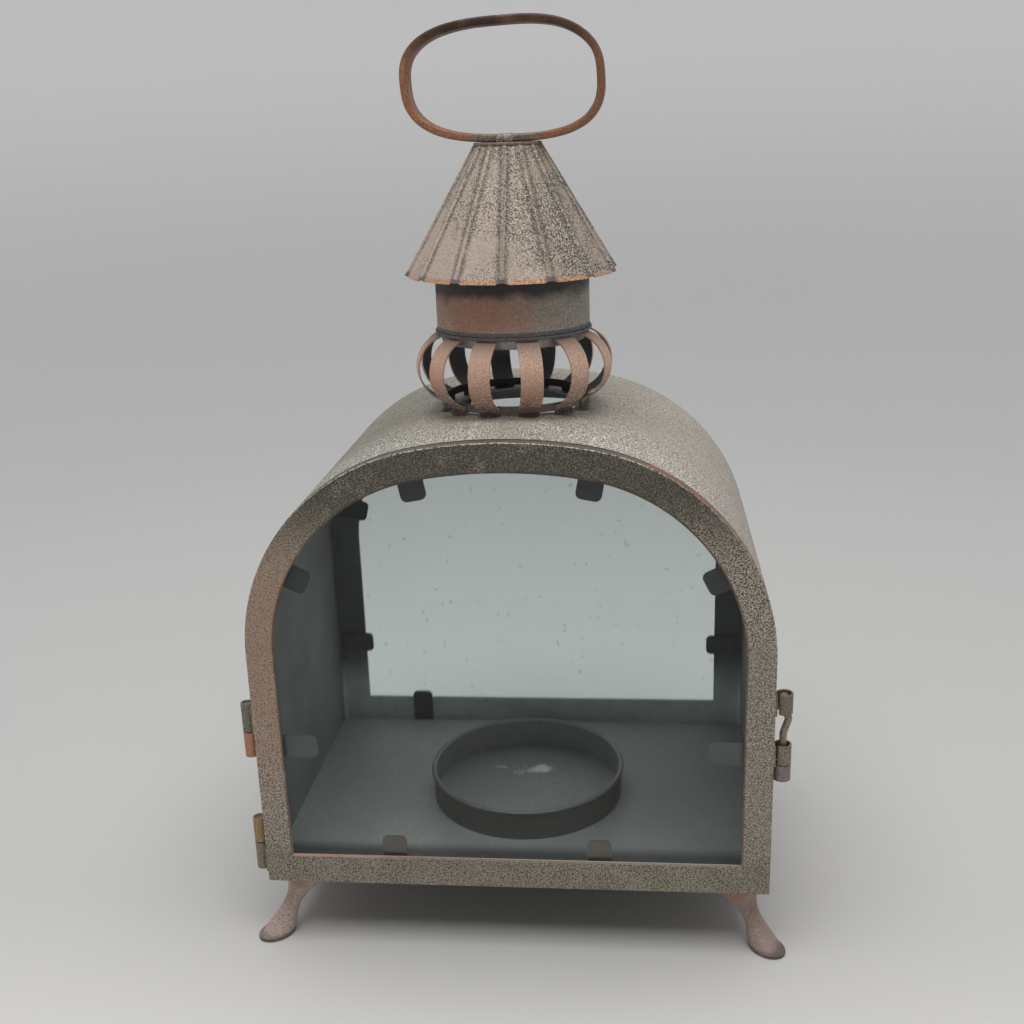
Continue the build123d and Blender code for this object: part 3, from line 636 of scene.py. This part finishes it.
BARRELS = {
    "upper_hinge_body_knuckle": ((0.46, 0.205, 0.12), (0.5, 0.24, 0.15), (0.24, 0.1, 0.06), (0.62, 0.38, 0.28)),
    "lower_hinge_body_knuckle": ((0.34, 0.225, 0.095), (0.38, 0.255, 0.115), (0.13, 0.09, 0.045), (0.55, 0.44, 0.28)),
    "upper_hinge_door_knuckle": ((0.17, 0.155, 0.115), (0.2, 0.165, 0.12), (0.085, 0.085, 0.065), (0.4, 0.37, 0.3)),
    "lower_hinge_door_knuckle": ((0.2, 0.165, 0.115), (0.26, 0.195, 0.12), (0.1, 0.085, 0.06), (0.42, 0.37, 0.28)),
    "latch_upper_guide": ((0.18, 0.155, 0.11), (0.24, 0.185, 0.115), (0.075, 0.07, 0.05), (0.44, 0.4, 0.32)),
    "latch_lower_guide": ((0.18, 0.155, 0.11), (0.22, 0.175, 0.115), (0.075, 0.07, 0.05), (0.44, 0.4, 0.32)),
    "latch_keeper": ((0.22, 0.165, 0.165), (0.25, 0.19, 0.185), (0.1, 0.075, 0.08), (0.45, 0.4, 0.4)),
}
for index, (node, tones) in enumerate(BARRELS.items()):
    hinge = "hinge" in node
    on_door = "door" in node or "guide" in node
    axis_x, bore, wall = (HINGE_X, HINGE_BORE, HINGE_WALL) if hinge else (LATCH_X, LATCH_BORE, LATCH_WALL)
    barrel = rolled_barrel(f"{node}_roll", node, axis_x, bore, wall, on_door)
    n, colour = weathered(f"{node}_wash", *tones, 50.0 + index, grains=(0.3, 0.8))
    barrel.data.materials.append(finish(n, colour, rough=(0.45, 0.65), metal=0.2))
    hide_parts(node)
    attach(barrel, "door" if on_door else "lantern")

# Hinge pins and latch pin: plain wire. The hinge pins stay in their knuckles; the latch pin has a kink that
# gives the fingers a hold and stops it under the upper guide.
n, colour = weathered("wire_wash", (0.24, 0.19, 0.14), (0.3, 0.22, 0.165), (0.1, 0.08, 0.06),
                      (0.45, 0.38, 0.3), 47.0, grains=(0.25, 0.7))
dress(finish(n, colour, rough=(0.4, 0.6), metal=0.3), "upper_hinge_pin", "lower_hinge_pin", "latch_pin")

# Door frame: an arched flat face with a turned flange, hung on the hinges, that holds the front pane.
# Limewash over primer: smoked olive at the crown, pink on the left stile, a painted highlight on pink and pale primer
# at the rail's upper edge.
DOOR_FACE = 0.014
DOOR_RAIL_TOP = 0.051
DOOR_HEART = (0.0, -0.084, 0.12)


def arch_inset(n):
    """Distance in from the arch's outline: from the side up to the spring, and above it from the arc of the
    shoulder or of the crown, whichever the place lies under."""
    across, up = n.math("ABSOLUTE", n.axis("X")), n.math("SUBTRACT", n.axis("Z"), SPRING)
    beside = n.math("SUBTRACT", across, SHOULDER_OFFSET)
    crown = n.math("SUBTRACT", CROWN_RADIUS, n.reach((1, 0, 1), (0, 0, SPRING - CROWN_DROP)))
    far = n.math("SQRT", n.math("ADD", n.both(beside, beside), n.both(up, up)))
    shoulder = n.math("SUBTRACT", SIDE_FACE - SHOULDER_OFFSET, far)
    high = n.math("GREATER_THAN", n.math("ARCTAN2", up, beside), SHOULDER_SWEEP)
    arc = n.math("ADD", n.both(crown, high), n.both(shoulder, n.math("SUBTRACT", 1.0, high)))
    above = n.math("GREATER_THAN", up, 0.0)
    side = n.both(n.math("SUBTRACT", SIDE_FACE, across), n.math("SUBTRACT", 1.0, above))
    return n.math("ADD", side, n.both(arc, above))


n, colour = weathered("door_limewash", (0.285, 0.25, 0.2), (0.32, 0.262, 0.208), (0.045, 0.04, 0.03),
                      (0.565, 0.515, 0.435), 9.0, grains=(0.65, 1.0))
pink = n.both(n.ramp(n.axis("X"), -0.07, -0.11), n.ramp(n.axis("Z"), 0.07, 0.13),
              n.ramp(n.fine, 0.38, 0.46, 0.3, 1.0))
colour = n.mix(n.both(pink, n.ramp(n.patch, 0.35, 0.55, 0.5, 1.0), 0.8), colour, (0.42, 0.275, 0.205))
smoke = n.both(n.ramp(n.axis("Z"), 0.2, 0.24), n.ramp(n.patch, 0.66, 0.5, 0.6, 1.0))
soot = n.mix(n.ramp(n.fine, 0.46, 0.64), (0.05, 0.047, 0.036), (0.165, 0.153, 0.12))
colour = n.mix(n.both(smoke, 0.9), colour, soot)
olive = n.both(n.ramp(n.axis("Z"), 0.054, 0.05), n.ramp(n.patch, 0.4, 0.55), n.ramp(n.fine, 0.6, 0.45, 0.5, 1.0))
colour = n.mix(n.both(olive, 0.5), colour, (0.21, 0.2, 0.145))
# Painted highlight and wear: pale on the up-front facing edges at the crown.
worn = n.both(n.facing((0, -0.7, 0.7), 0.75, 0.9), n.ramp(n.axis("Z"), 0.2, 0.235), n.ramp(n.fine, 0.42, 0.55))
colour = n.mix(n.both(worn, 0.8), colour, (0.72, 0.68, 0.58))
rail = n.ramp(n.axis("Z"), 0.058, 0.05, 0.0, 0.75)
colour = grained(n, colour, rail, (0.042, 0.04, 0.026), (0.33, 0.31, 0.235))
flange = n.ramp(n.axis("Y"), -0.0866, -0.086)
colour = n.mix(n.both(flange, n.ramp(n.patch, 0.3, 0.55, 0.4, 0.9)), colour, (0.16, 0.11, 0.085))
shoulder = n.both(n.ramp(n.axis("X"), 0.05, 0.08), n.ramp(n.axis("Z"), 0.14, 0.17), n.ramp(n.patch, 0.34, 0.5))
colour = n.mix(n.both(flange, shoulder, 0.9), colour, (0.42, 0.14, 0.08))
# Painted shadow between the frame and the pane along the inner edge of the face, partly rust brown.
lip = n.both(n.ramp(arch_inset(n), DOOR_FACE - 0.0013, DOOR_FACE - 0.0005),
             n.ramp(n.axis("Z"), DOOR_RAIL_TOP - 0.0005, DOOR_RAIL_TOP))
lip_shadow_and_rust = n.mix(n.ramp(n.patch, 0.45, 0.6), (0.05, 0.042, 0.035), (0.15, 0.085, 0.055))
colour = n.mix(n.both(lip, n.ramp(n.patch, 0.3, 0.55, 0.5, 0.9)), colour, lip_shadow_and_rust)
# Painted highlight on the rail's upward facing upper edge, over pink primer on the left and pale primer on the right.
sill = n.both(n.facing((0, 0, 1)), n.ramp(n.axis("Z"), 0.06, 0.055))
bare_primer_and_highlight = n.mix(n.ramp(n.axis("X"), -0.08, 0.06), (0.62, 0.36, 0.31), (0.62, 0.53, 0.43))
colour = n.mix(n.both(sill, 0.9), colour, bare_primer_and_highlight)
edge = n.both(n.ramp(n.axis("Z"), DOOR_RAIL_TOP - 0.0015, DOOR_RAIL_TOP - 0.0008), n.ramp(n.axis("Z"), 0.1, 0.06),
              n.ramp(n.math("ABSOLUTE", n.axis("X")), SIDE_FACE - DOOR_FACE + 0.0005, SIDE_FACE - DOOR_FACE - 0.0005),
              n.ramp(n.axis("X"), -0.05, -0.08, 0.3, 0.95), n.ramp(n.patch, 0.32, 0.5, 0.5, 1.0))
colour = n.mix(edge, colour, bare_primer_and_highlight)
inner = n.both(n.inside(DOOR_HEART), n.math("GREATER_THAN", n.axis("Y"), -0.08675))
colour = n.mix(inner, colour, CHARCOAL)
dress(finish(n, colour), "door_frame")

# Studio: a pale seamless bowl round the lantern, its floor bent up into the wall.
# Two wide soft lights hang above it, and a little light comes from all round.
BOWL_FLOOR = 0.9
BOWL_BEND = 0.9
BOWL_TOP = 2.4


def revolved(name, profile, turns=96):
    """Surface of revolution about Z: the profile's (radius, height) pairs turned through a full circle."""
    radius, height = np.asarray(profile).T
    angle = np.linspace(0, 2 * pi, turns, endpoint=False)
    grid = np.stack(np.broadcast_arrays(radius[:, None] * np.cos(angle), radius[:, None] * np.sin(angle),
                                        height[:, None]), -1)
    row, column = np.meshgrid(np.arange(len(profile) - 1), np.arange(turns), indexing="ij")
    after = (column + 1) % turns
    quads = np.stack([row * turns + column, row * turns + after, (row + 1) * turns + after,
                      (row + 1) * turns + column], -1).reshape(-1, 4)
    mesh = bpy.data.meshes.new(name)
    mesh.from_pydata(grid.reshape(-1, 3).tolist(), [], quads.tolist())
    mesh.shade_smooth()
    piece = bpy.data.objects.new(name, mesh)
    bpy.context.scene.collection.objects.link(piece)
    return piece


bend = np.linspace(0, pi / 2, 24)
bowl_profile = np.concatenate([
    [(0.001, 0.0), (0.4, 0.0)],
    np.stack([BOWL_FLOOR + BOWL_BEND * np.sin(bend), BOWL_BEND - BOWL_BEND * np.cos(bend)], 1),
    [(BOWL_FLOOR + BOWL_BEND, BOWL_TOP)],
])
bowl = revolved("studio_bowl", bowl_profile)
n = Nodes("studio_paint")
distance = n.math("ADD", n.reach(), n.math("MULTIPLY", n.noise(0.5, 2, 1.0), 0.05))
paint = n.mix(n.ramp(distance, 0.4, 0.9), (0.66, 0.655, 0.642), (0.69, 0.692, 0.695))
# Painted pool of light: the floor in front of the lantern is made paler.
paint = n.mix(n.ramp(n.axis("Y"), -0.04, -0.21), paint, (0.8, 0.785, 0.75))
backdrop = n.mix(n.ramp(n.axis("Y"), 0.2, -0.7), (0.95, 0.95, 0.955), (0.32, 0.32, 0.32))
# Painted light: the wall is made paler than the floor, brightening it with height; towards the front it is dark grey.
n.feed(n.shader.inputs["Base Color"], n.mix(n.ramp(n.axis("Z"), 0.1, 0.6), paint, backdrop))
n.shader.inputs["Roughness"].default_value = 0.9
bowl.data.materials.append(n.material)

world = bpy.data.worlds.new("studio_air")
world.use_nodes = True
air = world.node_tree.nodes["Background"]
air.inputs["Color"].default_value = (0.95, 0.98, 1.0, 1.0)
air.inputs["Strength"].default_value = 0.05
bpy.context.scene.world = world


def softbox(name, place, aim, width, height, power):
    """Rectangular area light that points at a spot."""
    light = bpy.data.lights.new(name, "AREA")
    light.shape = "RECTANGLE"
    light.size, light.size_y, light.energy = width, height, power
    lamp = bpy.data.objects.new(name, light)
    lamp.location = place
    lamp.rotation_euler = (Vector(aim) - Vector(place)).to_track_quat("-Z", "Y").to_euler()
    lamp.visible_camera = False
    bpy.context.scene.collection.objects.link(lamp)


softbox("top_softbox", (0.0, -0.32, 1.35), (0, -0.1, 0), 1.3, 1.0, 10.5)
softbox("ceiling_softbox", (0.0, 0.0, 2.35), (0, 0, 0), 3.2, 3.2, 18.5)

# Camera: the photograph's viewpoint, in front and a little to the right, looking down.
# Its lens, place and turn were fitted to edges measured in the photograph.
LENS_PIXELS = 1227.126
IMAGE_PIXELS = 1024
SENSOR_WIDTH = 36
CAMERA_PLACE = (0.06136, -0.610567, 0.3958)
YAW, PITCH, ROLL = radians(-6.11), radians(17.4), radians(1.96)
forward = Vector((sin(YAW) * cos(PITCH), cos(YAW) * cos(PITCH), -sin(PITCH)))
level = Vector((cos(YAW), -sin(YAW), 0))
down = forward.cross(level)
image_right = cos(ROLL) * level + sin(ROLL) * down
image_up = sin(ROLL) * level - cos(ROLL) * down
camera_data = bpy.data.cameras.new("photo_camera")
camera_data.sensor_width = SENSOR_WIDTH
camera_data.lens = SENSOR_WIDTH * LENS_PIXELS / IMAGE_PIXELS
camera = bpy.data.objects.new("photo_camera", camera_data)
turned = Matrix((image_right, image_up, -forward)).transposed().to_4x4()
camera.matrix_world = Matrix.Translation(CAMERA_PLACE) @ turned
bpy.context.scene.collection.objects.link(camera)
bpy.context.scene.camera = camera
bpy.context.scene.view_settings.view_transform = "Standard"
